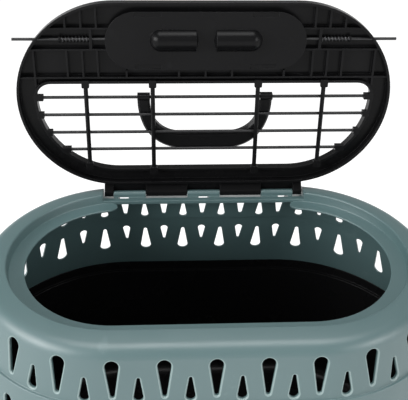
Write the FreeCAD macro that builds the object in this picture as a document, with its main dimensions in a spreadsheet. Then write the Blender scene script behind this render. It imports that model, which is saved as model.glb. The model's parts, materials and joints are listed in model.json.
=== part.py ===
import FreeCAD, Part
import math
import os
import Sketcher
from FreeCAD import Placement, Rotation, Vector

# Top-opening animal carrier.  Millimetres, +Z up, front towards -Y, hinge towards +Y.
# The origin is on the ground, under the centre of the tub.
# The plan of tub, shell and lid is a stadium: two straight sides and two round ends.
# Lid pieces are modelled closed, with their own origin on the hinge axis, and then
# swung open about that axis by the Placement that they share.

DIMENSIONS = [
    # body of the carrier
    ("total_height", 300.0, "ground to the crest of the upper shell"),
    ("half_straight", 88.0, "half the straight length of tub and shell in plan"),
    ("shell_height", 131.8, "upper shell, crest to lower edge"),
    ("shell_wall", 2.75, "wall of the upper shell"),
    ("wall_slope", 12.4, "wall lean from the vertical, degrees"),
    ("crest_slope", 8.0, "fall of the crest towards the outside, degrees"),
    ("crest_inner_radius", 106.0, "upper edge of the lid rebate"),
    ("rebate_depth", 10.4, "crest to lid ledge"),
    ("ledge_inner_radius", 90.0, "edge of the round-ended mouth"),
    ("ledge_thickness", 2.2, "lid ledge"),
    ("shoulder_radius", 14.7, "outside rounding of the crest"),
    ("wall_radius_at_shoulder", 132.0, "outside, at shoulder_level"),
    ("shoulder_level", 12.8, "below the crest"),
    ("band_level", 53.5, "step between the two vent bands, below the crest"),
    ("band_step", 2.3, "outward step at band_level"),
    ("rim_level", 111.3, "start of the thick lower rim, below the crest"),
    ("rim_step", 1.2, "outward step at rim_level"),
    # vents
    ("vent_pitch", 44.0, "spacing of the vents in the straight sides"),
    ("straight_large_count", 5, "large upper vents in one straight side"),
    ("straight_small_count", 4, "small upper vents in one straight side"),
    ("end_large_count", 8, "large upper vents round one end"),
    ("end_small_count", 9, "small upper vents round one end"),
    ("end_vent_angle", 20.0, "spacing of the vents round an end, degrees"),
    ("large_vent_length", 34.6, "teardrop vent"),
    ("large_vent_radius", 5.9, "wide end"),
    ("large_tip_radius", 1.9, "narrow end"),
    ("large_vent_start", 12.8, "wide end of the upper row, below the crest"),
    ("small_vent_length", 22.3, "teardrop vent"),
    ("small_vent_radius", 4.1, "wide end"),
    ("small_tip_radius", 1.25, "narrow end"),
    ("small_vent_start", 28.9, "narrow end of the upper row, below the crest"),
    ("row_mirror_level", 59.8, "the lower vent rows mirror the upper ones about this, below the crest"),
    # tub
    ("tub_wall", 2.8, "wall of the base tub"),
    ("tub_foot_height", 4.0, "moulded feet"),
    ("tub_floor_radius", 144.0, "plan radius where the tub wall meets the floor"),
    ("tub_corner_radius", 20.0, "rounding between tub wall and floor"),
    ("tub_band_low", 58.0, "lower step of the tub wall, above the ground"),
    ("tub_band_high", 106.0, "upper step of the tub wall, above the ground"),
    ("tub_band_step", 1.2, "steps of the tub wall, outside only"),
    ("tub_shelf_drop", 11.7, "inside shelf, below the joint line"),
    ("tub_flange_radius", 164.0, "outside of the flange that carries the shell"),
    ("tub_flange_thickness", 2.6, "flange"),
    ("foot_radius", 16.0, "moulded foot"),
    ("foot_x", 120.0, "foot centre"),
    ("foot_y", 92.0, "foot centre"),
    # hinge
    ("hinge_y", 115.6, "hinge axis, behind the carrier's centre"),
    ("hinge_drop", 5.7, "hinge axis, below the crest"),
    ("open_angle", 91.9, "lid, closed to leaning back on its stop, degrees"),
    ("pin_radius", 1.5, "hinge pin"),
    ("pin_clearance", 0.06, "radial clearance of the lid knuckles on the pin"),
    ("pin_half_length", 107.6, "hinge pin"),
    ("knuckle_radius", 3.4, "hinge knuckles"),
    ("knuckle_gap", 0.4, "axial gap between knuckles"),
    ("notch_half_width", 110.0, "hinge notch in the crest"),
    ("notch_front", 103.0, "front edge of the notch floor"),
    ("notch_lip", 5.4, "level strip along the front edge of the notch floor"),
    ("notch_floor_drop", 7.7, "front edge of the notch floor, below the crest"),
    ("notch_back_drop", 19.2, "back edge of the notch floor, below the crest"),
    # lid
    ("lid_centre", 115.2, "hinge axis to the lid's centre line"),
    ("lid_half_straight", 91.3, "half the straight length of the lid in plan"),
    ("lid_radius", 101.0, "round ends of the lid"),
    ("lid_top", 6.4, "top of the skin above the hinge axis"),
    ("lid_skin", 2.4, "skin"),
    ("lid_bottom", -4.4, "lower edge of the lid's skirt"),
    ("lid_skirt", 2.6, "skirt thickness"),
    ("rib_bottom", -2.6, "lower edge of the ribs"),
    ("rib_thickness", 1.8, "ribs"),
    ("window_half_straight", 90.0, "half the straight length of the window in plan"),
    ("window_centre", 114.4, "hinge axis to the window's centre line"),
    ("window_radius", 82.3, "round ends of the window"),
    ("window_front", 131.2, "straight front edge of the window, from the hinge axis"),
    ("window_corner", 15.0, "rounding of the window's front corners"),
    ("flap_half_width", 108.4, "hinge flap of the lid"),
    # window wires, uprights and handle
    ("wire_radius", 1.65, "steel wires across the window"),
    ("wire_height", 0.6, "wires above the hinge axis"),
    ("wire_seat", 4.0, "length of wire held in the frame at each end"),
    ("upright_radius", 2.3, "moulded uprights under the wires"),
    ("handle_thickness", 10.0, "handle"),
    ("handle_bottom", 2.3, "underside of the folded handle, above the hinge axis"),
    ("handle_eye_radius", 3.6, "handle eyes round the wire"),
    ("handle_clearance", 0.08, "radial clearance of the handle on its wire"),
    # latch
    ("rod_radius", 1.5, "latch rods"),
    ("rod_tip", 192.0, "tip of the thrown rod, from the middle"),
    ("rod_inner", 64.0, "inner end of the thrown rod"),
    ("rod_line", 178.0, "rods, from the hinge axis"),
    ("rod_bore_clearance", 0.4, "radial clearance of the rods in the frame"),
    ("keeper_clearance", 0.6, "radial clearance of the rods in the shell"),
    ("latch_travel", 19.5, "finger travel of each latch slide"),
    ("pocket_radius", 9.6, "finger pocket, inside"),
    ("pocket_wall", 1.9, "finger pocket"),
    ("pocket_inner", 9.0, "inner end of a finger pocket, from the middle"),
    ("pocket_outer", 45.0, "centre of the round outer end, from the middle"),
    ("cover_half_straight", 70.0, "latch cover"),
    ("cover_radius", 30.4, "latch cover ends"),
    ("cover_line", 176.6, "middle of the latch cover, from the hinge axis"),
    ("cover_thickness", 1.6, "latch cover"),
    ("slide_tab", 33.5, "finger tab of the thrown slide, from the middle"),
    ("spring_seat", 116.0, "fixed end of the spring, from the middle"),
    ("collar_seat", 144.0, "spring end of the rod collar, from the middle"),
    ("spring_radius", 2.9, "latch spring, to the wire's centre"),
    ("spring_wire", 0.45, "wire radius of the latch spring"),
    ("spring_turns", 8, "turns of the latch spring"),
]

doc = FreeCAD.newDocument("animal_carrier")
sheet = doc.addObject("Spreadsheet::Sheet", "dims")
for row, (alias, value, note) in enumerate(DIMENSIONS, start=1):
    sheet.set(f"A{row}", alias)
    sheet.set(f"B{row}", str(value))
    sheet.set(f"C{row}", note)
    sheet.setAlias(f"B{row}", alias)
doc.recompute()


def dim(alias):
    return float(getattr(sheet, alias))


def bind(thing, prop, expression):
    thing.setExpression(prop, expression)


NODES = []


def keep(thing, label):
    """Names a finished sub-part."""
    thing.Label = label
    NODES.append(thing)
    return thing


# ---------------------------------------------------------------- sketch helpers

def corner_edges(points):
    """Edges of a closed outline.  Each point is (x, y) or (x, y, corner radius)."""
    count = len(points)
    starts, ends, arcs = [], [], []
    for index in range(count):
        before = Vector(*points[index - 1][:2], 0)
        here = Vector(*points[index][:2], 0)
        after = Vector(*points[(index + 1) % count][:2], 0)
        radius = points[index][2] if len(points[index]) > 2 else 0.0
        if radius <= 0:
            starts.append(here)
            ends.append(here)
            arcs.append(None)
            continue
        inward = (before - here).normalize()
        outward = (after - here).normalize()
        half = inward.getAngle(outward) / 2
        reach = radius / math.tan(half)
        bisector = (inward + outward).normalize()
        centre = here + bisector * (radius / math.sin(half))
        first = here + inward * reach
        last = here + outward * reach
        middle = centre - bisector * radius
        starts.append(first)
        ends.append(last)
        arcs.append(Part.Arc(first, middle, last))
    edges = []
    for index in range(count):
        if arcs[index] is not None:
            edges.append(arcs[index])
        following = (index + 1) % count
        if (starts[following] - ends[index]).Length > 1e-6:
            edges.append(Part.LineSegment(ends[index], starts[following]))
    return edges


def body_plane(body, role):
    for feature in body.Origin.OriginFeatures:
        if feature.Role == role:
            return feature
    raise ValueError(role)


def new_body(name):
    return doc.addObject("PartDesign::Body", name)


def new_sketch(body, name, role="XY_Plane", offset=0.0, turn=0.0, offset_cell=None):
    """A sketch on one of the body's own planes, moved along its normal and turned
    about its own vertical axis."""
    sketch = body.newObject("Sketcher::SketchObject", name)
    sketch.AttachmentSupport = [(body_plane(body, role), "")]
    sketch.MapMode = "FlatFace"
    sketch.AttachmentOffset = Placement(Vector(0, 0, offset), Rotation(Vector(0, 1, 0), turn))
    if offset_cell:
        bind(sketch, "AttachmentOffset.Base.z", offset_cell)
    return sketch


def join_ends(sketch, first_index, count):
    """Coincident constraints between touching ends of a closed chain of edges."""
    for index in range(count):
        one = first_index + index
        two = first_index + (index + 1) % count
        for end_one in (1, 2):
            for end_two in (1, 2):
                gap = sketch.getPoint(one, end_one) - sketch.getPoint(two, end_two)
                if gap.Length < 1e-5 and (count > 2 or end_one == 2):
                    sketch.addConstraint(Sketcher.Constraint("Coincident", one, end_one, two, end_two))
                    break


def add_outline(sketch, points):
    edges = corner_edges(points)
    first_index = sketch.GeometryCount
    sketch.addGeometry(edges, False)
    join_ends(sketch, first_index, len(edges))


def add_circle(sketch, x, y, radius, name=None, cell=None):
    index = sketch.addGeometry(Part.Circle(Vector(x, y, 0), Vector(0, 0, 1), radius), False)
    if cell:
        number = sketch.addConstraint(Sketcher.Constraint("Radius", index, radius))
        sketch.renameConstraint(number, name)
        bind(sketch, f"Constraints.{name}", cell)


def stadium(half_straight, radius, y=0.0):
    """Outline points of a stadium whose straight sides lie along X."""
    reach = half_straight + radius
    low, high = y - radius, y + radius
    return [(-reach, low, radius), (reach, low, radius), (reach, high, radius), (-reach, high, radius)]


def rectangle(x_low, y_low, x_high, y_high, radius=0.0):
    return [(x_low, y_low, radius), (x_high, y_low, radius),
            (x_high, y_high, radius), (x_low, y_high, radius)]


def add_teardrop(sketch, x, wide_level, direction, size):
    """A vent outline along the sketch's Y: two circles and their outer tangents.
    wide_level is the end of the wide circle; direction is +1 when the tip is above."""
    length = dim(f"{size}_vent_length")
    wide = dim(f"{size}_vent_radius")
    tip = dim(f"{size}_tip_radius")
    wide_y = wide_level + direction * wide
    tip_y = wide_level + direction * (length - tip)
    lean = math.asin((wide - tip) / abs(tip_y - wide_y))
    side = Vector(math.cos(lean), direction * math.sin(lean), 0)
    mirror = Vector(-side.x, side.y, 0)
    wide_centre = Vector(x, wide_y, 0)
    tip_centre = Vector(x, tip_y, 0)
    far = Vector(0, direction, 0)
    first = sketch.GeometryCount
    sketch.addGeometry([
        Part.Arc(wide_centre + side * wide, wide_centre - far * wide, wide_centre + mirror * wide),
        Part.LineSegment(wide_centre + mirror * wide, tip_centre + mirror * tip),
        Part.Arc(tip_centre + mirror * tip, tip_centre + far * tip, tip_centre + side * tip),
        Part.LineSegment(tip_centre + side * tip, wide_centre + side * wide)], False)
    join_ends(sketch, first, 4)
    for index, name in ((first, "vent_radius"), (first + 2, "tip_radius")):
        value = dim(f"{size}_{name}")
        number = sketch.addConstraint(Sketcher.Constraint("Radius", index, value))
        sketch.renameConstraint(number, f"{size}_{name}")
        bind(sketch, f"Constraints.{size}_{name}", f"dims.{size}_{name}")


def pad(body, sketch, name, length, cell=None, midplane=False, reverse=False):
    feature = body.newObject("PartDesign::Pad", name)
    feature.Profile = sketch
    feature.Refine = False
    feature.Length = length
    feature.Midplane = midplane
    feature.Reversed = reverse
    if cell:
        bind(feature, "Length", cell)
    return feature


def pocket(body, sketch, name, length=None, cell=None, midplane=False, reverse=False):
    """A pocket of a given depth, or through everything when no length is given.
    It cuts against the sketch's normal unless it is reversed."""
    feature = body.newObject("PartDesign::Pocket", name)
    feature.Profile = sketch
    feature.Refine = False
    if length is None:
        feature.Type = 1
    else:
        feature.Length = length
    feature.Midplane = midplane
    feature.Reversed = reverse
    if cell:
        bind(feature, "Length", cell)
    return feature


def revolve(body, sketch, name, angle=360.0, reverse=False):
    feature = body.newObject("PartDesign::Revolution", name)
    feature.Profile = sketch
    feature.Refine = False
    feature.ReferenceAxis = (sketch, ["V_Axis"])
    feature.Angle = angle
    feature.Reversed = reverse
    return feature


# ------------------------------------------------------------- stadium-plan shells

def sweep_round_plan(body, name, section):
    """Carries a section, given as (plan radius, height[, corner radius]) points,
    round the stadium: straight sides as pads, round ends as half revolutions."""
    for side, word in ((-1, "front"), (1, "back")):
        sketch = new_sketch(body, f"{name}_{word}_section", "YZ_Plane")
        add_outline(sketch, [(side * point[0], *point[1:]) for point in section])
        pad(body, sketch, f"{name}_{word}", 2 * dim("half_straight"),
            "2 * dims.half_straight", midplane=True)
        if side < 0:
            for end, end_word in ((1, "right"), (-1, "left")):
                sketch = new_sketch(body, f"{name}_{end_word}_section", "YZ_Plane",
                                    end * dim("half_straight"), 0.0, f"{end} * dims.half_straight")
                add_outline(sketch, [(side * point[0], *point[1:]) for point in section])
                revolve(body, sketch, f"{name}_{end_word}", 180.0, reverse=end < 0)


S = dim("half_straight")
CREST = dim("total_height")
JOINT_LINE = CREST - dim("shell_height")
HINGE_Z = CREST - dim("hinge_drop")
SLOPE = math.tan(math.radians(dim("wall_slope")))
FALL = math.tan(math.radians(dim("crest_slope")))
WALL = dim("shell_wall")


def wall_radius(depth):
    """Outside plan radius of the upper shell at a depth below the crest."""
    radius = dim("wall_radius_at_shoulder") + (depth - dim("shoulder_level")) * SLOPE
    if depth > dim("band_level"):
        radius += dim("band_step")
    if depth > dim("rim_level"):
        radius += dim("rim_step")
    return radius


def shell_section():
    """Half section of the upper shell, anticlockwise from its lower outer edge."""
    across = WALL / math.cos(math.radians(dim("wall_slope")))
    crest_r = dim("crest_inner_radius")
    band, rim = dim("band_level"), dim("rim_level")
    eps = 1e-6
    corner_depth = (dim("wall_radius_at_shoulder") - dim("shoulder_level") * SLOPE - crest_r) * FALL
    corner_depth = corner_depth / (1 - SLOPE * FALL)
    draft = 1.0
    ledge_z = CREST - dim("rebate_depth")
    ledge_r, ledge_bevel = dim("ledge_inner_radius"), 0.6
    under_z = ledge_z - dim("ledge_thickness")
    inside_top = CREST - WALL
    inner_wall = crest_r - draft + dim("ledge_thickness")
    inner_corner_r = wall_radius(corner_depth) - across
    inner_corner_z = inside_top - (inner_corner_r - crest_r) * FALL
    return [
        (wall_radius(dim("shell_height")), JOINT_LINE),
        (wall_radius(rim + eps), CREST - rim, 0.5),
        (wall_radius(rim - eps), CREST - rim, 0.5),
        (wall_radius(band + eps), CREST - band, 0.9),
        (wall_radius(band - eps), CREST - band, 0.9),
        (wall_radius(corner_depth), CREST - corner_depth, dim("shoulder_radius")),
        (crest_r, CREST, 1.6),
        (crest_r - draft, ledge_z, 0.8),
        (ledge_r + ledge_bevel, ledge_z),
        (ledge_r, ledge_z - ledge_bevel),
        (ledge_r, under_z + ledge_bevel),
        (ledge_r + ledge_bevel, under_z),
        (inner_wall, under_z, 0.8),
        (inner_wall + draft, inside_top, 1.0),
        (inner_corner_r, inner_corner_z, dim("shoulder_radius") - WALL),
        (wall_radius(band - eps) - across, CREST - band - 1.2, 0.6),
        (wall_radius(band + eps) - across, CREST - band - 1.2, 0.6),
        (wall_radius(dim("shell_height")) - dim("rim_step") - across, JOINT_LINE),
    ]


def vent_columns(body, name, vents, straight_count, end_count):
    """Columns of two vents each, (size, level of the wide end, tip direction): a line
    through both straight sides and a fan round each end."""
    start_x = -dim("vent_pitch") * (dim(straight_count) - 1) / 2
    sketch = new_sketch(body, f"{name}_sketch", "XZ_Plane")
    for size, level, direction in vents:
        add_teardrop(sketch, start_x, level, direction, size)
    cut = pocket(body, sketch, f"{name}_cut", 400.0, midplane=True)
    line = body.newObject("PartDesign::LinearPattern", f"{name}_line")
    line.Originals = [cut]
    line.Refine = False
    line.Direction = (sketch, ["H_Axis"])
    line.Length = dim("vent_pitch") * (dim(straight_count) - 1)
    line.Occurrences = int(dim(straight_count))
    bind(line, "Length", f"dims.vent_pitch * (dims.{straight_count} - 1)")
    bind(line, "Occurrences", f"dims.{straight_count}")
    body.Tip = line
    spread = dim("end_vent_angle") * (dim(end_count) - 1)
    for end, word in ((1, "right"), (-1, "left")):
        turn = -spread / 2 if end > 0 else 180.0 - spread / 2
        sketch = new_sketch(body, f"{name}_{word}_sketch", "YZ_Plane", end * S, turn,
                            f"{end} * dims.half_straight")
        for size, level, direction in vents:
            add_teardrop(sketch, 0.0, level, direction, size)
        cut = pocket(body, sketch, f"{name}_{word}_cut", 200.0, reverse=True)
        fan = body.newObject("PartDesign::PolarPattern", f"{name}_{word}_fan")
        fan.Originals = [cut]
        fan.Refine = False
        fan.Axis = (sketch, ["V_Axis"])
        fan.Angle = spread
        fan.Occurrences = int(dim(end_count))
        bind(fan, "Angle", f"dims.end_vent_angle * (dims.{end_count} - 1)")
        bind(fan, "Occurrences", f"dims.{end_count}")
        body.Tip = fan


SIDE_KNUCKLE = (63.6, 98.6)
MID_KNUCKLE = 17.8
SLOT_WIDTH = 11.2
SLOT_CENTRES = (-88.0, 0.0, 88.0)


def add_hinge_notch(body):
    """Cuts the crest away behind the mouth and puts the sloping floor, the end walls
    and the fixed knuckles of the hinge in the gap."""
    half = dim("notch_half_width")
    front, back = dim("notch_front"), 145.0
    lip = front + dim("notch_lip")
    floor_back = CREST - dim("notch_back_drop")
    floor_front = CREST - dim("notch_floor_drop")
    slope = (floor_front - floor_back) / (wall_radius(dim("notch_back_drop")) - lip)
    plan = new_sketch(body, "notch_plan", "XY_Plane", CREST + 2, 0.0, "dims.total_height + 2")
    add_outline(plan, [(half, back), (-half, back), (-half, front), (-86, front, 6), (-96.5, 92, 6),
                       (-105, 86), (-105, 60), (105, 60), (105, 86),
                       (96.5, 92, 6), (86, front, 6), (half, front)])
    pocket(body, plan, "notch", dim("notch_back_drop") + 2, "dims.notch_back_drop + 2")

    under = 2.4
    reach = wall_radius(dim("notch_back_drop")) - 0.6
    floor = new_sketch(body, "notch_floor_section", "YZ_Plane")
    add_outline(floor, [(front, floor_front), (front, floor_front - under - 1.6),
                        (reach, floor_back - under), (reach, floor_back), (lip, floor_front)])
    pad(body, floor, "notch_floor", 2 * half, "2 * dims.notch_half_width", midplane=True)

    crest_r = dim("crest_inner_radius")
    for side, word in ((1, "right"), (-1, "left")):
        wall = new_sketch(body, f"notch_{word}_wall_section", "YZ_Plane", side * (half + 1.2))
        top = CREST - 1.6
        add_outline(wall, [(crest_r - 2.8, floor_front - 6), (wall_radius(22) - 3.2, CREST - 22),
                           (wall_radius(12) - 6.5, CREST - 9), (crest_r + 10, top - 10 * FALL),
                           (crest_r - 1.5, top)])
        pad(body, wall, f"notch_{word}_wall", 2.4, midplane=True)

    axis_y, radius = dim("hinge_y"), dim("knuckle_radius")
    floor_at_axis = floor_front - (axis_y - lip) * slope
    for x_low, x_high, word in ((-SIDE_KNUCKLE[1], -SIDE_KNUCKLE[0], "left"),
                                (-MID_KNUCKLE, MID_KNUCKLE, "middle"),
                                (SIDE_KNUCKLE[0], SIDE_KNUCKLE[1], "right")):
        post = new_sketch(body, f"{word}_post_section", "YZ_Plane", (x_low + x_high) / 2)
        add_outline(post, [(axis_y - radius + 0.4, HINGE_Z), (axis_y - radius - 1.0, floor_at_axis),
                           (axis_y + radius - 1.6, floor_at_axis - 2.4), (axis_y + radius - 0.4, HINGE_Z)])
        pad(body, post, f"{word}_post", x_high - x_low, midplane=True)
        barrel = new_sketch(body, f"{word}_barrel_section", "YZ_Plane", (x_low + x_high) / 2)
        add_circle(barrel, axis_y, HINGE_Z, radius, "barrel", "dims.knuckle_radius")
        pad(body, barrel, f"{word}_barrel", x_high - x_low, midplane=True)
    top = HINGE_Z - radius + 0.7
    slots = new_sketch(body, "floor_slots_sketch", "XY_Plane", top)
    for centre in SLOT_CENTRES:
        add_outline(slots, rectangle(centre - SLOT_WIDTH / 2, lip + 0.2, centre + SLOT_WIDTH / 2, 138.0, 0.5))
    pocket(body, slots, "floor_slots", top - (floor_back - under - 0.9))
    bore = new_sketch(body, "pin_bore_sketch", "YZ_Plane")
    add_circle(bore, axis_y, HINGE_Z, dim("pin_radius"), "bore", "dims.pin_radius")
    pocket(body, bore, "pin_bore", 230.0, midplane=True)


def add_keepers(body):
    """Holes in the rebate wall that take the tips of the latch rods."""
    radius = dim("rod_radius") + dim("keeper_clearance")
    for side, word in ((1, "right"), (-1, "left")):
        sketch = new_sketch(body, f"{word}_keeper_sketch", "YZ_Plane", side * 165.0)
        add_circle(sketch, dim("hinge_y") - dim("rod_line"), HINGE_Z, radius,
                   "keeper", "dims.rod_radius + dims.keeper_clearance")
        pocket(body, sketch, f"{word}_keeper", dim("rod_tip") + 1 - 165.0, reverse=side > 0)


def make_upper_shell():
    body = new_body("upper_shell")
    sweep_round_plan(body, "shell", shell_section())
    upper_large = CREST - dim("large_vent_start")
    upper_small = CREST - dim("small_vent_start") - dim("small_vent_length")
    mirror = 2 * (CREST - dim("row_mirror_level"))
    vent_columns(body, "whole_columns",
                 [("large", upper_large, -1), ("small", mirror - upper_small, -1)],
                 "straight_large_count", "end_large_count")
    vent_columns(body, "half_columns",
                 [("small", upper_small, 1), ("large", mirror - upper_large, 1)],
                 "straight_small_count", "end_small_count")
    add_hinge_notch(body)
    add_keepers(body)
    return keep(body, "upper_shell")


# --------------------------------------------------------------------- base tub

def make_base_tub():
    body = new_body("base_tub")
    wall = dim("tub_wall")
    foot = dim("tub_foot_height")
    floor_r, corner = dim("tub_floor_radius"), dim("tub_corner_radius")
    low, high, step = dim("tub_band_low"), dim("tub_band_high"), dim("tub_band_step")
    inside_r = wall_radius(dim("shell_height")) - dim("rim_step") - WALL - 0.6
    shelf_z = JOINT_LINE - dim("tub_shelf_drop")
    shelf_in = inside_r - 3.2
    lean = (shelf_in + wall - floor_r - 2 * step) / (shelf_z - wall - foot)
    low_r = floor_r + (low - foot) * lean
    high_r = low_r + step + (high - low) * lean
    flange_r = dim("tub_flange_radius")
    flange_low = JOINT_LINE - dim("tub_flange_thickness")
    sweep_round_plan(body, "tub", [
        (0.0, foot), (floor_r, foot, corner), (low_r, low, 0.8), (low_r + step, low, 0.8),
        (high_r, high, 0.8), (high_r + step, high, 0.8), (shelf_in + wall, shelf_z - wall, 1.5),
        (inside_r + wall, shelf_z - wall, 1.5), (inside_r + wall, flange_low, 1.0),
        (flange_r, flange_low, 0.8), (flange_r, JOINT_LINE, 0.8), (inside_r, JOINT_LINE, 0.6),
        (inside_r, shelf_z, 0.6), (shelf_in, shelf_z, 1.0),
        (floor_r - wall, foot + wall, corner - wall), (0.0, foot + wall)])
    feet = new_sketch(body, "feet_sketch", "XY_Plane")
    for x in (-dim("foot_x"), dim("foot_x")):
        for y in (-dim("foot_y"), dim("foot_y")):
            add_circle(feet, x, y, dim("foot_radius"))
    pad(body, feet, "feet", foot + 0.5, "dims.tub_foot_height + 0.5")
    return keep(body, "base_tub")


def make_hinge_pin():
    pin = doc.addObject("Part::Cylinder", "hinge_pin")
    bind(pin, "Radius", "dims.pin_radius")
    bind(pin, "Height", "2 * dims.pin_half_length")
    pin.Placement = Placement(Vector(-dim("pin_half_length"), dim("hinge_y"), HINGE_Z),
                              Rotation(Vector(0, 1, 0), 90))
    return keep(pin, "hinge_pin")


# -------------------------------------------------------------------- lid pieces
# In the lid's own coordinates X runs along the hinge axis, Y = 0 is the axis, the
# free edge is at negative Y and +Z is the outside of the closed lid.

LID_PLACE = Placement(Vector(0, dim("hinge_y"), HINGE_Z),
                      Rotation(Vector(1, 0, 0), -dim("open_angle")))
LID_Y = -dim("lid_centre")
LID_S = dim("lid_half_straight")
SKIN_LOW = dim("lid_top") - dim("lid_skin")
RIB_LOW = dim("rib_bottom")
WIRES = {"window_wire_1": (115.2, 168.5), "window_wire_2": (95.5, 169.0),
         "window_wire_3": (75.3, 161.5), "window_wire_4": (55.3, 143.5)}
SLIDE_GUIDE = 15.8
SLIDE_GUIDE_REACH = 84.0
UPRIGHTS = {"window_upright_1": -122.0, "window_upright_2": -54.0,
            "window_upright_3": 54.0, "window_upright_4": 122.0}


def swing(thing):
    thing.Placement = LID_PLACE.multiply(thing.Placement)
    return thing


def half_chord(offset, radius, half_straight):
    """Half length of a stadium at a distance from its centre line."""
    return half_straight + math.sqrt(max(radius ** 2 - offset ** 2, 0.0))


def lid_reach(distance, inset=0.0):
    """Half width of the lid at a distance from the hinge axis."""
    return half_chord(distance - dim("lid_centre"), dim("lid_radius") - inset, LID_S)


def window_reach(distance):
    """Half width of the window at a distance from the hinge axis."""
    return half_chord(distance - dim("window_centre"), dim("window_radius"), dim("window_half_straight"))


def add_window(sketch, grow=0.0):
    """Window of the lid, a stadium cut off straight at the front: front edge, two
    rounded corners, two round ends and the straight back edge."""
    radius = dim("window_radius") + grow
    front = -(dim("window_front") + grow)
    corner = dim("window_corner") + grow
    straight, centre = dim("window_half_straight"), -dim("window_centre")
    edges = []
    joints = {}
    for side in (1, -1):
        axis = Vector(side * straight, centre, 0)
        small_y = front + corner
        small_x = math.sqrt((radius - corner) ** 2 - (small_y - centre) ** 2)
        small = Vector(side * (straight + small_x), small_y, 0)
        touch = axis + (small - axis).normalize() * radius
        flat = Vector(small.x, front, 0)
        lean = (touch - small).normalize() + (flat - small).normalize()
        middle = small + lean.normalize() * corner
        top = Vector(side * straight, centre + radius, 0)
        turn = math.atan2(touch.y - centre, abs(touch.x - axis.x))
        half_turn = (turn + math.pi / 2) / 2
        far = axis + Vector(side * math.cos(half_turn), math.sin(half_turn), 0) * radius
        edges.append(Part.Arc(flat, middle, touch))
        edges.append(Part.Arc(touch, far, top))
        joints[side] = (flat, top)
    edges.insert(2, Part.LineSegment(joints[1][1], joints[-1][1]))
    edges.append(Part.LineSegment(joints[-1][0], joints[1][0]))
    first = sketch.GeometryCount
    ordered = [edges[0], edges[1], edges[2], edges[4], edges[3], edges[5]]
    sketch.addGeometry(ordered, False)
    join_ends(sketch, first, len(ordered))


def bar_at(sketch, x_low, x_high, y_low, y_high):
    add_outline(sketch, rectangle(min(x_low, x_high), min(y_low, y_high),
                                  max(x_low, x_high), max(y_low, y_high)))


def rib_pads(body):
    """The stiffening ribs under the skin, each pad overlapping the skin."""
    half = dim("rib_thickness") / 2
    depth = SKIN_LOW - RIB_LOW + 0.5
    front_rib, mid_rib, far_rib = 137.6, 167.4, 189.4
    cover_end = dim("cover_half_straight") + dim("cover_radius") - 8
    crossing = (108.5, 123.5, 139.0)
    slots = []
    slots.append((-lid_reach(front_rib, 2), lid_reach(front_rib, 2), -front_rib - half, -front_rib + half))
    for side in (1, -1):
        for level in (mid_rib, far_rib):
            slots.append((side * cover_end, side * lid_reach(level, 2), -level - half, -level + half))
    for level in (dim("rod_line") - SLIDE_GUIDE, dim("rod_line") + SLIDE_GUIDE):
        slots.append((-SLIDE_GUIDE_REACH, SLIDE_GUIDE_REACH, -level - half, -level + half))
    long_ribs = new_sketch(body, "long_ribs_sketch", "XY_Plane", RIB_LOW, 0.0, "dims.rib_bottom")
    for slot in slots:
        bar_at(long_ribs, *slot)
    pad(body, long_ribs, "long_ribs", depth)
    cross = new_sketch(body, "cross_ribs_sketch", "XY_Plane", RIB_LOW, 0.0, "dims.rib_bottom")
    for side in (1, -1):
        for x in crossing:
            bar_at(cross, side * (x - half), side * (x + half), -front_rib, -mid_rib)
            edge = dim("lid_centre") + math.sqrt((dim("lid_radius") - 2) ** 2 - (x - LID_S) ** 2)
            bar_at(cross, side * (x - half), side * (x + half), -far_rib, -edge)
        bar_at(cross, side * (172.0 - half), side * (172.0 + half), -front_rib + 9, -mid_rib)
    for x in (-80.0, -27.0, 0.0, 27.0, 80.0):
        bar_at(cross, x - half, x + half, -front_rib, -front_rib - 8)
    pad(body, cross, "cross_ribs", depth)


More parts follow.
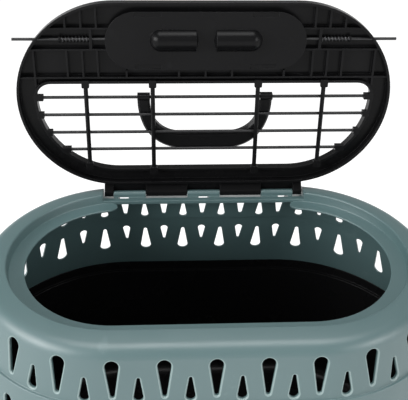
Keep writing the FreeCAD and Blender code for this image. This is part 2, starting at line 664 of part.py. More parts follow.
def make_lid_frame():
    body = new_body("lid_frame")
    top, bottom = dim("lid_top"), dim("lid_bottom")
    flap_half = dim("flap_half_width")
    plate = new_sketch(body, "plate_sketch", "XY_Plane", bottom, 0.0, "dims.lid_bottom")
    add_outline(plate, stadium(LID_S, dim("lid_radius"), LID_Y))
    pad(body, plate, "plate", top - bottom, "dims.lid_top - dims.lid_bottom")
    doc.recompute()
    rim = [f"Edge{number}" for number, edge in enumerate(body.Shape.Edges, start=1)
           if edge.BoundBox.ZMin > top - 0.01]
    plate_pad = body.Tip
    rounding = body.newObject("PartDesign::Fillet", "rim_rounding")
    rounding.Base = (plate_pad, rim)
    rounding.Radius = 2.4
    bind(rounding, "Radius", "dims.lid_skirt - 0.2")
    hollow = new_sketch(body, "hollow_sketch", "XY_Plane", bottom, 0.0, "dims.lid_bottom")
    add_outline(hollow, stadium(LID_S, dim("lid_radius") - dim("lid_skirt"), LID_Y))
    pocket(body, hollow, "hollow", SKIN_LOW - bottom,
           "dims.lid_top - dims.lid_skin - dims.lid_bottom", reverse=True)
    ring = new_sketch(body, "window_ring_sketch", "XY_Plane", RIB_LOW, 0.0, "dims.rib_bottom")
    add_window(ring, 2.6)
    add_window(ring)
    pad(body, ring, "window_ring", SKIN_LOW - RIB_LOW + 0.5)
    rib_pads(body)
    window = new_sketch(body, "window_sketch", "XY_Plane", top + 1)
    add_window(window)
    pocket(body, window, "window", top - SKIN_LOW + 1.6)

    lugs = new_sketch(body, "wire_lugs_sketch", "XY_Plane", RIB_LOW, 0.0, "dims.rib_bottom")
    for level, reach in WIRES.values():
        edge = window_reach(level)
        for side in (1, -1):
            bar_at(lugs, side * (reach - 2.5), side * (edge + 3.0), -level - 3.0, -level + 3.0)
    pad(body, lugs, "wire_lugs", 6.0)

    flap = new_sketch(body, "flap_sketch", "XY_Plane", SKIN_LOW, 0.0, "dims.lid_top - dims.lid_skin")
    root = -24.0
    add_outline(flap, [(-flap_half, root), (flap_half, root), (flap_half, 3.6, 2), (-flap_half, 3.6, 2)])
    pad(body, flap, "flap", dim("lid_skin"), "dims.lid_skin")
    gap = dim("knuckle_gap")
    for x_low, x_high, word in ((-flap_half, -SIDE_KNUCKLE[1] - gap, "left_ear"),
                                (-SIDE_KNUCKLE[0] + gap, -MID_KNUCKLE - gap, "left_knuckle"),
                                (MID_KNUCKLE + gap, SIDE_KNUCKLE[0] - gap, "right_knuckle"),
                                (SIDE_KNUCKLE[1] + gap, flap_half, "right_ear")):
        section = new_sketch(body, f"{word}_section", "YZ_Plane", (x_low + x_high) / 2)
        radius = dim("knuckle_radius")
        add_outline(section, [(-radius - 9, SKIN_LOW + 0.4), (-radius, -radius + 0.4, 3.4),
                              (radius, -radius + 0.4, 3.4), (radius, SKIN_LOW + 1.6, 1.0)])
        pad(body, section, word, x_high - x_low, midplane=True)
    bore = new_sketch(body, "knuckle_bore_sketch", "YZ_Plane")
    add_circle(bore, 0, 0, dim("pin_radius") + dim("pin_clearance"), "bore",
               "dims.pin_radius + dims.pin_clearance")
    pocket(body, bore, "knuckle_bore", 240.0, midplane=True)

    channel = dim("rod_radius") + dim("rod_bore_clearance")
    rod = new_sketch(body, "rod_bore_sketch", "YZ_Plane")
    add_circle(rod, -dim("rod_line"), 0, channel, "bore", "dims.rod_radius + dims.rod_bore_clearance")
    for side, word in ((1, "right"), (-1, "left")):
        seat = new_sketch(body, f"{word}_seat_sketch", "YZ_Plane", side * (dim("spring_seat") - 1.5))
        add_outline(seat, rectangle(-190.0, RIB_LOW, -166.8, SKIN_LOW + 0.5))
        pad(body, seat, f"{word}_spring_seat", 2.6, midplane=True)
    pocket(body, rod, "rod_bores", 400.0, midplane=True)
    for name, (level, reach) in WIRES.items():
        seats = new_sketch(body, f"{name}_seat_sketch", "YZ_Plane")
        add_circle(seats, -level, dim("wire_height"), dim("wire_radius"), "bore", "dims.wire_radius")
        pocket(body, seats, f"{name}_seats", 2 * reach + dim("wire_seat"), midplane=True)
    fingers = new_sketch(body, "finger_openings_sketch", "XY_Plane", top + 1)
    inner, outer, radius = dim("pocket_inner"), dim("pocket_outer"), dim("pocket_radius")
    for side in (1, -1):
        line = -dim("rod_line")
        points = [(inner, line - radius, 4), (outer + radius, line - radius, radius - 0.1),
                  (outer + radius, line + radius, radius - 0.1), (inner, line + radius, 4)]
        add_outline(fingers, [(side * point[0], *point[1:]) for point in points])
    pocket(body, fingers, "finger_openings", dim("lid_skin") + 2)
    return keep(swing(body), "lid_frame")


def make_latch_cover():
    """Plate over the latch with two finger pockets that bulge into the carrier."""
    body = new_body("latch_cover")
    line = -dim("cover_line")
    low = RIB_LOW - 0.1 - dim("cover_thickness")
    plate = new_sketch(body, "cover_sketch", "XY_Plane", low)
    add_outline(plate, stadium(dim("cover_half_straight"), dim("cover_radius"), line))
    pad(body, plate, "cover_plate", dim("cover_thickness"), "dims.cover_thickness")
    rod_y = -dim("rod_line")
    axis_z = low + dim("cover_thickness")
    radius, wall = dim("pocket_radius"), dim("pocket_wall")
    inner, outer = dim("pocket_inner"), dim("pocket_outer")
    for grow, kind, part in ((wall, "PartDesign::Revolution", "bulge"), (0.0, "PartDesign::Groove", "hollow")):
        for side, word in ((1, "right"), (-1, "left")):
            name = f"{word}_{part}"
            start, r = inner - grow, radius + grow
            shape = new_sketch(body, f"{name}_section", "XZ_Plane")
            shape.AttachmentOffset = Placement(Vector(0, axis_z, -rod_y), Rotation())
            axis_end = Vector(side * (outer + r), 0, 0)
            round_middle = Vector(side * (outer + r * math.sqrt(0.5)), -r * math.sqrt(0.5), 0)
            deep_outer = Vector(side * outer, -r, 0)
            deep_inner = Vector(side * (start + 3.0), -r, 0)
            axis_start = Vector(side * start, 0, 0)
            shape.addGeometry([Part.LineSegment(axis_start, axis_end),
                               Part.Arc(axis_end, round_middle, deep_outer),
                               Part.LineSegment(deep_outer, deep_inner),
                               Part.LineSegment(deep_inner, axis_start)], False)
            join_ends(shape, 0, 4)
            turned = body.newObject(kind, name)
            turned.Profile = shape
            turned.Refine = False
            turned.ReferenceAxis = (shape, ["H_Axis"])
            turned.Midplane = True
            turned.Angle = 180.0
    clips = new_sketch(body, "cover_clips_sketch", "XY_Plane", low)
    for side in (1, -1):
        for level in (line - 27.5, line + 26.5):
            add_outline(clips, rectangle(side * 58.0 - 13.5, level - 2.1, side * 58.0 + 13.5, level + 2.1, 0.6))
    pocket(body, clips, "cover_clips", 0.9, reverse=True)
    return keep(swing(body), "latch_cover")


def make_wires():
    """Steel wires across the window, held in the window ring."""
    for name, (level, reach) in WIRES.items():
        length = 2 * reach + dim("wire_seat") - 0.2
        wire = doc.addObject("Part::Cylinder", name)
        bind(wire, "Radius", "dims.wire_radius")
        wire.Height = length
        wire.Placement = Placement(Vector(-length / 2, -level, dim("wire_height")),
                                   Rotation(Vector(0, 1, 0), 90))
        keep(swing(wire), name)


def make_uprights():
    """Moulded uprights on the carrier side of the wires, each with a clip at both ends."""
    radius = dim("upright_radius")
    height = dim("wire_height") - dim("wire_radius") - radius
    centre, half_straight = dim("window_centre"), dim("window_half_straight")
    for name, x in UPRIGHTS.items():
        body = new_body(name)
        near = centre - math.sqrt(dim("window_radius") ** 2 - max(abs(x) - half_straight, 0.0) ** 2)
        far = dim("window_front")
        section = new_sketch(body, f"{name}_section", "XZ_Plane", near + 0.4)
        add_circle(section, x, height, radius, "upright", "dims.upright_radius")
        pad(body, section, f"{name}_bar", far - near - 0.8)
        for level, word in ((near, "foot"), (far, "head")):
            clip = new_sketch(body, f"{name}_{word}_sketch", "XY_Plane", height - radius - 0.6)
            side = -1 if word == "foot" else 1
            tip = level + side * 4.4
            inner = level - side * 3.4
            add_outline(clip, rectangle(x - 3.9, -max(inner, tip), x + 3.9, -min(inner, tip), 1.2))
            pad(body, clip, f"{name}_{word}", RIB_LOW - 0.15 - (height - radius - 0.6))
        keep(swing(body), name)


def make_handle():
    """Folding handle: a flat bow with an eye at each end, turning on the first wire."""
    body = new_body("handle")
    bottom, thick = dim("handle_bottom"), dim("handle_thickness")
    pivot = -WIRES["window_wire_1"][0]
    bow = new_sketch(body, "handle_sketch", "XY_Plane", bottom, 0.0, "dims.handle_bottom")
    outer = [(70.0, pivot), (69.2, -97.5), (65.6, -83.8), (53.4, -65.2), (33.0, -54.7), (0.0, -52.1)]
    inner = [(57.0, pivot), (56.4, -99.5), (53.0, -88.2), (44.0, -77.8), (24.5, -72.1)]
    right_out = [Vector(x, y, 0) for x, y in outer]
    left_out = [Vector(-x, y, 0) for x, y in outer]
    right_in = [Vector(x, y, 0) for x, y in inner]
    left_in = [Vector(-x, y, 0) for x, y in inner]
    edges = [Part.Arc(right_out[0], right_out[1], right_out[2]),
             Part.Arc(right_out[2], right_out[3], right_out[4]),
             Part.Arc(right_out[4], right_out[5], left_out[4]),
             Part.Arc(left_out[4], left_out[3], left_out[2]),
             Part.Arc(left_out[2], left_out[1], left_out[0]),
             Part.LineSegment(left_out[0], left_in[0]),
             Part.Arc(left_in[0], left_in[1], left_in[2]),
             Part.Arc(left_in[2], left_in[3], left_in[4]),
             Part.LineSegment(left_in[4], right_in[4]),
             Part.Arc(right_in[4], right_in[3], right_in[2]),
             Part.Arc(right_in[2], right_in[1], right_in[0]),
             Part.LineSegment(right_in[0], right_out[0])]
    bow.addGeometry(edges, False)
    join_ends(bow, 0, len(edges))
    pad(body, bow, "bow", thick, "dims.handle_thickness")
    doc.recompute()
    long_edges = [f"Edge{number}" for number, edge in enumerate(body.Shape.Edges, start=1)
                  if edge.BoundBox.ZLength < 0.01 and edge.BoundBox.YMin > pivot + 1]
    bow_pad = body.Tip
    bevel = body.newObject("PartDesign::Chamfer", "bow_bevel")
    bevel.Base = (bow_pad, long_edges)
    bevel.Size = 2.0
    height, eye = dim("wire_height"), dim("handle_eye_radius")
    for side, word in ((1, "right"), (-1, "left")):
        section = new_sketch(body, f"{word}_eye_section", "YZ_Plane", side * 63.5)
        add_outline(section, [(pivot - eye, height - eye, eye - 0.1), (pivot + eye, height - eye, 3),
                              (pivot + eye, bottom + thick, 6), (pivot - eye, bottom + thick)])
        pad(body, section, f"{word}_eye", 13.0, midplane=True)
    slant = new_sketch(body, "eye_slant_sketch", "YZ_Plane")
    add_outline(slant, [(pivot - eye - 1, height + 2.8), (pivot + 10.5, bottom + thick + 1),
                        (pivot - eye - 1, bottom + thick + 1)])
    pocket(body, slant, "eye_slant", 200.0, midplane=True)
    bore = new_sketch(body, "handle_bore_sketch", "YZ_Plane")
    add_circle(bore, pivot, height, dim("wire_radius") + dim("handle_clearance"), "bore",
               "dims.wire_radius + dims.handle_clearance")
    pocket(body, bore, "handle_bore", 200.0, midplane=True)
    return keep(swing(body), "handle")


def make_latch(side, word):
    """Rod, collar, finger slide and spring of one side, in the thrown position."""
    tip, inner = dim("rod_tip"), dim("rod_inner")
    line = -dim("rod_line")
    rod = new_body(f"{word}_latch_rod")
    section = new_sketch(rod, f"{word}_rod_section", "YZ_Plane", side * inner)
    add_circle(section, line, 0, dim("rod_radius"), "rod", "dims.rod_radius")
    pad(rod, section, f"{word}_rod", tip - inner, "dims.rod_tip - dims.rod_inner", reverse=side < 0)
    keep(swing(rod), f"{word}_latch_rod")

    collar = new_body(f"{word}_rod_collar")
    section = new_sketch(collar, f"{word}_collar_section", "YZ_Plane", side * dim("collar_seat"))
    add_circle(section, line, 0, 3.3)
    add_circle(section, line, 0, dim("rod_radius"), "bore", "dims.rod_radius")
    pad(collar, section, f"{word}_collar", 2.0, reverse=side < 0)
    keep(swing(collar), f"{word}_rod_collar")

    slide = new_body(f"{word}_latch_slide")
    low, high = RIB_LOW + 0.4, SKIN_LOW - 0.4
    radius = dim("pocket_radius")
    tab = dim("slide_tab")
    frame = new_sketch(slide, f"{word}_slide_sketch", "XY_Plane", low)
    rail_in, rail_out = radius + 2.4, radius + 4.6
    x_tab, x_block, x_end = tab - 1.5, inner - 2, inner + 10
    add_outline(frame, [(side * x_tab, line - rail_out), (side * x_end, line - rail_out),
                        (side * x_end, line + rail_out), (side * x_tab, line + rail_out)])
    add_outline(frame, [(side * (tab + 1.5), line - rail_in), (side * x_block, line - rail_in),
                        (side * x_block, line + rail_in), (side * (tab + 1.5), line + rail_in)])
    pad(slide, frame, f"{word}_slide_frame", high - low)
    tab_plate = new_sketch(slide, f"{word}_tab_section", "YZ_Plane", side * tab)
    reach = radius - 0.7
    axis_z = RIB_LOW - 0.1
    add_outline(tab_plate, [(line - reach, low + 1.0), (line - reach, axis_z - reach, reach - 0.1),
                            (line + reach, axis_z - reach, reach - 0.1), (line + reach, low + 1.0)])
    pad(slide, tab_plate, f"{word}_tab", 3.0, midplane=True)
    bore = new_sketch(slide, f"{word}_slide_bore", "YZ_Plane", side * inner)
    add_circle(bore, line, 0, dim("rod_radius"), "bore", "dims.rod_radius")
    pocket(slide, bore, f"{word}_bore", 20.0, reverse=side > 0)
    keep(swing(slide), f"{word}_latch_slide")

    spring = doc.addObject("Part::Feature", f"{word}_latch_spring")
    wire, coil = dim("spring_wire"), dim("spring_radius")
    start, end = dim("spring_seat") + wire, dim("collar_seat") - wire
    pitch = (end - start) / dim("spring_turns")
    helix = Part.makeHelix(pitch, end - start, coil)
    profile = Part.Wire(Part.makeCircle(wire, Vector(coil, 0, 0), Vector(0, 1, 0)))
    spring.Shape = Part.Wire(helix).makePipeShell([profile], True, True)
    spring.Placement = Placement(Vector(side * start, line, 0), Rotation(Vector(0, side, 0), 90))
    keep(swing(spring), f"{word}_latch_spring")


make_upper_shell()
make_base_tub()
make_hinge_pin()
make_lid_frame()
make_latch_cover()
make_wires()
make_uprights()
make_handle()
make_latch(-1, "left")
make_latch(1, "right")

doc.recompute()
faults = [thing.Name for thing in doc.Objects if "Invalid" in thing.State or "Error" in thing.State]
for node in NODES:
    if node.Shape.isNull() or not node.Shape.isValid():
        faults.append(node.Label)
if faults:
    raise SystemExit(f"failed: {faults}")
os.makedirs("parts", exist_ok=True)
for node in NODES:
    node.Shape.exportStep(f"parts/{node.Label}.step")
    box = node.Shape.BoundBox
    print(f"{node.Label:20s} solids {len(node.Shape.Solids)} {node.Shape.Volume / 1000:8.2f} cm3 "
          f"x {box.XMin:.1f}..{box.XMax:.1f} y {box.YMin:.1f}..{box.YMax:.1f} z {box.ZMin:.1f}..{box.ZMax:.1f}")
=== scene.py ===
"""A round-ended animal carrier with its lid open: finished pieces, materials, studio and camera."""

import json
import math

import bmesh
import bpy
from mathutils import Matrix, Vector


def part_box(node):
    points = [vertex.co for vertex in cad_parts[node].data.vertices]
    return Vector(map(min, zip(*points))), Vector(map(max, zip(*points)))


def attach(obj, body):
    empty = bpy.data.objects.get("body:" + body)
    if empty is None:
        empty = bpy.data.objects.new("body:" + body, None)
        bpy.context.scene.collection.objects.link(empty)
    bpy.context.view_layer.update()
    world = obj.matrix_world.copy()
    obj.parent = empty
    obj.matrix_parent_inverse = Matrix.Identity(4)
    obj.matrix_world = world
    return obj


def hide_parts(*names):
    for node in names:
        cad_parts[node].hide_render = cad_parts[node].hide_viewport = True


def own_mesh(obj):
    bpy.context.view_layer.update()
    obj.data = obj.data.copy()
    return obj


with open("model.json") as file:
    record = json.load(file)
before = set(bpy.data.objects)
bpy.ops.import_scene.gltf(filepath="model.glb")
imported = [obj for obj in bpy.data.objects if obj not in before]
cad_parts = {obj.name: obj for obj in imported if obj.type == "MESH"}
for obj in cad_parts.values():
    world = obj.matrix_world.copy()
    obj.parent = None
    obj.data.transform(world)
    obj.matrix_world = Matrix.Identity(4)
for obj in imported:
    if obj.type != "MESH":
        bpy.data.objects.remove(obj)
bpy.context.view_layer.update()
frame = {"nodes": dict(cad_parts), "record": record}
scene = bpy.context.scene


def slot_of(node):
    """Name of the material slot that the record gives to a node."""
    return next(part["material_slot"] for part in frame["record"]["subparts"] if part["node"] == node)


# ------------------------------------------------------------------ camera

CAMERA_PLACE = Vector((-0.0413, -0.6043, 0.7548))
CAMERA_YAW, CAMERA_PITCH, CAMERA_ROLL = (math.radians(a) for a in (3.27, 29.94, 1.11))
CAMERA_LENS, CAMERA_SHIFT = 68.2, -0.105
SENSOR_WIDTH, FARTHEST_SEEN = 36.0, 50


def make_camera():
    ahead = Vector((math.sin(CAMERA_YAW) * math.cos(CAMERA_PITCH),
                    math.cos(CAMERA_YAW) * math.cos(CAMERA_PITCH), -math.sin(CAMERA_PITCH)))
    level = Vector((math.cos(CAMERA_YAW), -math.sin(CAMERA_YAW), 0))
    upward = level.cross(ahead)
    right = math.cos(CAMERA_ROLL) * level + math.sin(CAMERA_ROLL) * upward
    up = math.cos(CAMERA_ROLL) * upward - math.sin(CAMERA_ROLL) * level
    turn = Matrix((right, up, -ahead)).transposed()
    data = bpy.data.cameras.new("camera")
    data.lens, data.sensor_width = CAMERA_LENS, SENSOR_WIDTH
    data.shift_y = CAMERA_SHIFT
    data.clip_end = FARTHEST_SEEN
    camera = bpy.data.objects.new("camera", data)
    camera.matrix_world = Matrix.Translation(CAMERA_PLACE) @ turn.to_4x4()
    scene.collection.objects.link(camera)
    scene.camera = camera


# --------------------------------------------------------------- materials

RIM_LAYER = "vent_rim"      # face layer of the shell: 1 on the rounded vent rims
RIM_HIGHLIGHT = 0.6          # how far a vent rim goes towards the pale colour: a painted highlight on every rim
OPEN_COSINE, EDGE_COSINE = 0.98, 0.75   # bevelled against true normal: open surface, full edge

MIX_FIRST, MIX_SECOND, MIX_RESULT = 6, 7, 2     # colour sockets of a Mix node
REMAP_SOCKETS = ("From Min", "From Max", "To Min", "To Max")


class Nodes:
    """A short way to write a material's node tree."""

    def __init__(self, name):
        self.material = bpy.data.materials.new(name)
        self.material.use_nodes = True
        self.tree = self.material.node_tree
        self.shader = self.tree.nodes["Principled BSDF"]
        self.place = self.add("ShaderNodeTexCoord").outputs["Object"]

    def add(self, kind, **values):
        """A new node; each value is a property of it, or else the default of the input so named."""
        node = self.tree.nodes.new(kind)
        for key, value in values.items():
            if hasattr(node, key):
                setattr(node, key, value)
            else:
                node.inputs[key.replace("_", " ")].default_value = value
        return node

    def link(self, source, target):
        self.tree.links.new(source, target)

    def feed(self, socket, value):
        """Links another node's output to a socket, or sets the socket's own value."""
        if isinstance(value, bpy.types.NodeSocket):
            self.link(value, socket)
        else:
            socket.default_value = value

    def noise(self, scale, detail=3.0, roughness=0.55, stretch=None):
        node = self.add("ShaderNodeTexNoise", Scale=scale, Detail=detail, Roughness=roughness)
        place = self.place
        if stretch:
            mapping = self.add("ShaderNodeMapping", Scale=stretch)
            self.link(place, mapping.inputs["Vector"])
            place = mapping.outputs["Vector"]
        self.link(place, node.inputs["Vector"])
        return node.outputs["Fac"]

    def remap(self, value, *limits):
        """Value from the range of the first two limits to the range of the last two."""
        node = self.add("ShaderNodeMapRange")
        for socket, limit in zip(REMAP_SOCKETS, limits):
            node.inputs[socket].default_value = limit
        self.link(value, node.inputs["Value"])
        return node.outputs["Result"]

    def mix(self, factor, first, second):
        """Between two colours, each an output or three numbers."""
        node = self.add("ShaderNodeMix", data_type="RGBA")
        self.link(factor, node.inputs["Factor"])
        for socket, colour in ((MIX_FIRST, first), (MIX_SECOND, second)):
            if isinstance(colour, tuple):
                colour = (*colour, 1.0)
            self.feed(node.inputs[socket], colour)
        return node.outputs[MIX_RESULT]

    def math(self, operation, first, second):
        node = self.add("ShaderNodeMath", operation=operation)
        self.feed(node.inputs[0], first)
        self.feed(node.inputs[1], second)
        return node.outputs["Value"]

    def soft_edges(self, radius):
        """The normal as if edges were rounded to this radius."""
        node = self.add("ShaderNodeBevel", samples=4)
        node.inputs["Radius"].default_value = radius
        return node.outputs["Normal"]

    def edge_mask(self, soft):
        """1 on convex and concave edges, 0 on open surface."""
        geometry = self.add("ShaderNodeNewGeometry")
        dot = self.add("ShaderNodeVectorMath", operation="DOT_PRODUCT")
        self.link(soft, dot.inputs[0])
        self.link(geometry.outputs["Normal"], dot.inputs[1])
        return self.remap(dot.outputs["Value"], OPEN_COSINE, EDGE_COSINE, 0.0, 1.0)

    def bump(self, height, distance, strength, normal=None):
        node = self.add("ShaderNodeBump")
        node.inputs["Distance"].default_value = distance
        node.inputs["Strength"].default_value = strength
        self.link(height, node.inputs["Height"])
        if normal is not None:
            self.link(normal, node.inputs["Normal"])
        return node.outputs["Normal"]


def moulded_plastic(name, colour, deep, scuff_and_highlight_colour, rough, specular, grain, edge, edge_highlight):
    """Injection-moulded plastic: fine grain, slow drift from colour to deep, faint scuffs towards a
    pale colour, and edges and vent rims painted towards the same pale colour as painted highlights.
    Edge is the radius of the softened edges."""
    n = Nodes(name)
    drift = n.remap(n.noise(7.0, 2.0), 0.35, 0.68, 0.0, 1.0)
    tone = n.mix(drift, colour, deep)
    scuffs = n.remap(n.noise(38.0, 7.0, 0.7, stretch=(1.0, 0.35, 1.0)), 0.62, 0.78, 0.0, 0.16)
    soft = n.soft_edges(edge)
    # painted highlight: every convex and concave edge is made paler, as a lit edge looks
    scuff_and_highlight_mix = n.math("MAXIMUM", scuffs, n.math("MULTIPLY", n.edge_mask(soft), edge_highlight))
    rim = n.add("ShaderNodeAttribute", attribute_name=RIM_LAYER).outputs["Fac"]
    # painted highlight: the vent rims are made paler, as lit rims look
    scuff_and_highlight_mix = n.math("MAXIMUM", scuff_and_highlight_mix, n.math("MULTIPLY", rim, RIM_HIGHLIGHT))
    # the pale colour carries the real scuffs and the painted highlights on edges and vent rims
    n.link(n.mix(scuff_and_highlight_mix, tone, scuff_and_highlight_colour), n.shader.inputs["Base Color"])
    patches = n.remap(n.noise(19.0, 4.0), 0.3, 0.7, rough - 0.05, rough + 0.07)
    scuffed = n.math("ADD", patches, n.math("MULTIPLY", scuffs, 0.25))
    n.link(scuffed, n.shader.inputs["Roughness"])
    n.shader.inputs["Specular IOR Level"].default_value = specular
    pores = n.noise(grain, 2.0, 0.6)
    n.link(n.bump(pores, 0.00012, 0.35, soft), n.shader.inputs["Normal"])
    return n.material


def coated_steel():
    """Black coated wire: slightly uneven coat, glints where it is rubbed."""
    n = Nodes("black_coated_steel")
    coat, bare = (0.011, 0.011, 0.012), (0.07, 0.07, 0.072)
    rubbed = n.remap(n.noise(160.0, 5.0, 0.65), 0.60, 0.78, 0.0, 0.6)
    n.link(n.mix(rubbed, coat, bare), n.shader.inputs["Base Color"])
    n.link(n.remap(n.noise(60.0, 3.0), 0.3, 0.7, 0.30, 0.44), n.shader.inputs["Roughness"])
    n.link(n.bump(n.noise(900.0, 2.0), 0.00008, 0.4), n.shader.inputs["Normal"])
    n.shader.inputs["Coat Weight"].default_value = 0.25
    n.shader.inputs["Coat Roughness"].default_value = 0.25
    return n.material


def drawn_steel():
    """Dark oiled spring wire: fine lines along the wire and dull patches."""
    n = Nodes("drawn_steel")
    clean, dull = (0.11, 0.11, 0.115), (0.05, 0.05, 0.052)
    lines = n.noise(500.0, 2.0, 0.5, stretch=(0.04, 1.0, 1.0))
    patches = n.remap(n.noise(90.0, 4.0), 0.45, 0.7, 0.0, 1.0)
    n.link(n.mix(patches, clean, dull), n.shader.inputs["Base Color"])
    n.shader.inputs["Metallic"].default_value = 1.0
    n.link(n.remap(lines, 0.3, 0.7, 0.24, 0.42), n.shader.inputs["Roughness"])
    n.link(n.bump(lines, 0.00004, 0.5), n.shader.inputs["Normal"])
    return n.material


def make_materials():
    """The finish of each material slot."""
    return {
        "shell_plastic": moulded_plastic(
            "sage_plastic", colour=(0.083, 0.145, 0.149), deep=(0.077, 0.137, 0.142),
            # pale colour: real scuffs, plus painted highlights on edges and vent rims
            scuff_and_highlight_colour=(0.31, 0.41, 0.40), rough=0.42, specular=0.95, grain=1500.0,
            edge=0.0010, edge_highlight=0.15),
        "black_plastic": moulded_plastic(
            "black_moulded_plastic", colour=(0.0062, 0.0062, 0.0066), deep=(0.0050, 0.0050, 0.0054),
            # pale colour: real scuffs, plus painted highlights on edges and vent rims
            scuff_and_highlight_colour=(0.030, 0.0305, 0.032), rough=0.25, specular=0.12, grain=1300.0,
            edge=0.0008, edge_highlight=0.7),
        "black_steel": coated_steel(),
        "bright_steel": drawn_steel(),
    }


# ------------------------------------------------------------------ pieces

def dress_nodes(materials):
    for name, node in frame["nodes"].items():
        for slot in node.material_slots:
            slot.material = materials[slot_of(name)]


def show_instead(name, mesh, node, body, material):
    """A piece of this mesh that shows in place of a node."""
    mesh.materials.clear()
    mesh.materials.append(material)
    piece = bpy.data.objects.new(name, mesh)
    scene.collection.objects.link(piece)
    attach(piece, body)
    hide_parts(node)
    return piece


# ------------------------------------------------------------------- shell

WELD_DISTANCE = 2e-6
SMOOTH_BELOW = math.radians(32)     # faces that meet at less than this shade as one surface
RIM_BLEND = math.radians(75)        # a rim face blends into an open face within this angle
ROUND_TOLERANCE = math.radians(13)  # a normal this near to the round plan is turned onto it
STEEP_ENOUGH = 0.15                 # level part that a normal needs to have a plan direction

RIM_SHARPNESS = math.radians(40)    # least angle of a vent rim's edge
RIM_ROUNDING, RIM_STEPS = 0.0014, 3
ABOVE_FOOT, BELOW_CREST = 0.003, 0.012  # the band of wall that holds vents
OUTWARD_COSINE, SIDE_COSINE = 0.85, 0.6     # the wall's face and the vent's face at a rim


def welded(node):
    """The node's mesh as one bmesh with shared corners."""
    shape = bmesh.new()
    shape.from_mesh(frame["nodes"][node].data)
    bmesh.ops.remove_doubles(shape, verts=shape.verts, dist=WELD_DISTANCE)
    return shape


def plan_outward(place, half_straight):
    """Outward direction of the stadium plan at a place."""
    past_end = max(abs(place.x) - half_straight, 0.0)
    return Vector((math.copysign(past_end, place.x), place.y, 0)).normalized()


def follow_plan(normal, outward):
    """Turns a normal about the vertical onto the exact round plan when it is already near it."""
    level = Vector((normal.x, normal.y, 0))
    if level.length < STEEP_ENOUGH:
        return normal
    side = outward if level.dot(outward) > 0 else -outward
    if level.angle(side) > ROUND_TOLERANCE:
        return normal
    return (side * level.length + Vector((0, 0, normal.z))).normalized()


def corner_normals(shape, layer, half_straight):
    """Corner normals: smooth over gentle angles, true to the stadium plan on its walls, and
    with the vent rims blending into the faces beside them."""
    around = {vert.index: [(loop.face.normal, loop.calc_angle(), loop.face[layer] > 0.5)
                           for loop in vert.link_loops] for vert in shape.verts}
    outwards = [plan_outward(vert.co, half_straight) for vert in shape.verts]
    gentle, blend = math.cos(SMOOTH_BELOW), math.cos(RIM_BLEND)
    normals = []
    for face in shape.faces:
        own, on_rim = face.normal, face[layer] > 0.5
        for loop in face.loops:
            beside = around[loop.vert.index]
            open_faces = [normal for normal, _, is_rim in beside
                          if on_rim and not is_rim and normal.dot(own) > blend]
            lead = max(open_faces, key=own.dot) if open_faces else own
            of_rim = on_rim and not open_faces
            mean = Vector()
            for normal, angle, is_rim in beside:
                if is_rim == of_rim and normal.dot(lead) > gentle:
                    mean += normal * angle
            mean = mean.normalized() if mean.length > 0 else own
            normals.append(follow_plan(mean, outwards[loop.vert.index]))
    return normals


def vent_rims(shape, half_straight):
    """The sharp edges where a vent breaks through the outside of the wall."""
    low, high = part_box("upper_shell")
    rims = []
    for edge in shape.edges:
        middle = (edge.verts[0].co + edge.verts[1].co) / 2
        on_wall = low.z + ABOVE_FOOT < middle.z < high.z - BELOW_CREST
        if not on_wall or edge.calc_face_angle_signed(0) < RIM_SHARPNESS:
            continue
        outward = plan_outward(middle, half_straight)
        facing = sorted(face.normal.dot(outward) for face in edge.link_faces)
        if facing[0] < SIDE_COSINE and facing[1] > OUTWARD_COSINE:
            rims.append(edge)
    return rims


def make_shell(material):
    """The upper shell with the outside rims of its vents rounded over."""
    low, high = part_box("upper_shell")
    half_straight = ((high.x - low.x) - (high.y - low.y)) / 2
    shape = welded("upper_shell")
    rims = vent_rims(shape, half_straight)
    layer = shape.faces.layers.float.new(RIM_LAYER)
    rounded = bmesh.ops.bevel(shape, geom=rims, offset=RIM_ROUNDING, segments=RIM_STEPS, profile=0.5,
                              affect="EDGES", clamp_overlap=False, loop_slide=False)
    for face in rounded["faces"]:
        face[layer] = 1.0
    for group in (shape.verts, shape.faces):
        group.index_update()
    shape.normal_update()
    normals = corner_normals(shape, layer, half_straight)
    mesh = bpy.data.meshes.new("sage_shell")
    shape.to_mesh(mesh)
    shape.free()
    for face in mesh.polygons:
        face.use_smooth = True
        face.material_index = 0
    mesh.normals_split_custom_set(normals)
    show_instead("sage_shell", mesh, "upper_shell", "carrier", material)


# ----------------------------------------------------------------- springs

def make_springs(material):
    """The two latch springs, as copies of their node meshes carried by the lid."""
    for side in ("left", "right"):
        node, joint = f"{side}_latch_spring", f"{side}_latch_slide"
        low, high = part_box(node)
        seat = (low + high) / 2
        seat.x = min(low.x, high.x, key=abs)
        mesh = frame["nodes"][node].data.copy()
        spring = show_instead(f"{side}_coil_spring", mesh, node, "lid", material)
        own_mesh(spring)


# ------------------------------------------------------------------ studio

WHITE = (1, 1, 1, 1)
FLOOR_REACH, FLOOR_GLOW = 30.0, 0.88
SKY_LOW, SKY_HIGH = 0.06, 0.20      # sine of the height where white ends and dimness is full
SKY_WHITE, SKY_DIM = 1.0, 0.26
CREST_MIDDLE = (0, 0, 0.3)

SOFTBOXES = (   # name, place, aimed at, size, watts
    ("overhead", (0.0, -0.1, 2.2), CREST_MIDDLE, (1.5, 1.0), 22),
    ("left_key", (-1.9, -0.95, 1.2), (-0.15, -0.1, 0.29), (1.6, 1.0), 48),
    ("right_side", (1.7, -1.2, 1.1), (0.15, -0.1, 0.29), (1.0, 0.8), 14),
    ("front_fill", (0.0, -2.4, 2.0), CREST_MIDDLE, (1.8, 0.9), 1),
)


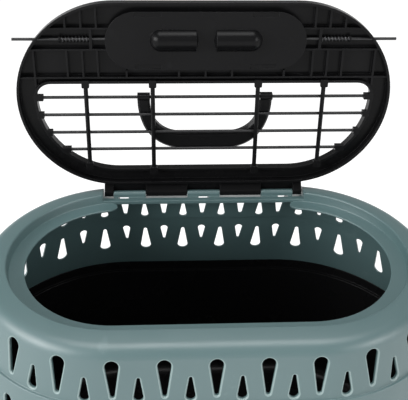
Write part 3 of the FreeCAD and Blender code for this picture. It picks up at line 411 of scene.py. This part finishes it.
def floor_material():
    """Matt white paper that glows a little, so that it stays white far out."""
    n = Nodes("studio_floor")
    tone = n.mix(n.noise(1.5, 2.0), (0.30, 0.30, 0.30), (0.33, 0.33, 0.33))
    n.link(tone, n.shader.inputs["Base Color"])
    n.shader.inputs["Roughness"].default_value = 0.9
    n.shader.inputs["Emission Color"].default_value = WHITE
    n.shader.inputs["Emission Strength"].default_value = FLOOR_GLOW
    return n.material


def make_floor():
    mesh = bpy.data.meshes.new("floor")
    corners = [(x * FLOOR_REACH, y * FLOOR_REACH, 0) for x, y in ((-1, -1), (1, -1), (1, 1), (-1, 1))]
    mesh.from_pydata(corners, [], [(0, 1, 2, 3)])
    floor = bpy.data.objects.new("floor", mesh)
    scene.collection.objects.link(floor)
    mesh.materials.append(floor_material())


def make_sky():
    """A dim even dome that turns white near the horizon, where it meets the white floor."""
    world = bpy.data.worlds.new("studio")
    scene.world = world
    world.use_nodes = True
    tree = world.node_tree
    background = tree.nodes["Background"]
    direction = tree.nodes.new("ShaderNodeTexCoord")
    split = tree.nodes.new("ShaderNodeSeparateXYZ")
    dimming = tree.nodes.new("ShaderNodeMapRange")
    dimming.interpolation_type = "SMOOTHSTEP"
    for socket, limit in zip(REMAP_SOCKETS, (SKY_LOW, SKY_HIGH, SKY_WHITE, SKY_DIM)):
        dimming.inputs[socket].default_value = limit
    tree.links.new(direction.outputs["Generated"], split.inputs["Vector"])
    tree.links.new(split.outputs["Z"], dimming.inputs["Value"])
    tree.links.new(dimming.outputs["Result"], background.inputs["Strength"])
    background.inputs["Color"].default_value = WHITE


def make_softbox(name, place, target, size, watts):
    data = bpy.data.lights.new(name, "AREA")
    data.shape, data.size, data.size_y = "RECTANGLE", *size
    data.energy = watts
    light = bpy.data.objects.new(name, data)
    light.location = place
    light.rotation_euler = (Vector(target) - Vector(place)).to_track_quat("-Z", "Y").to_euler()
    scene.collection.objects.link(light)


def make_studio():
    make_floor()
    make_sky()
    for softbox in SOFTBOXES:
        make_softbox(*softbox)
    scene.view_settings.view_transform = "Standard"


make_camera()
materials = make_materials()
dress_nodes(materials)
make_shell(materials["shell_plastic"])
make_springs(materials["bright_steel"])
make_studio()
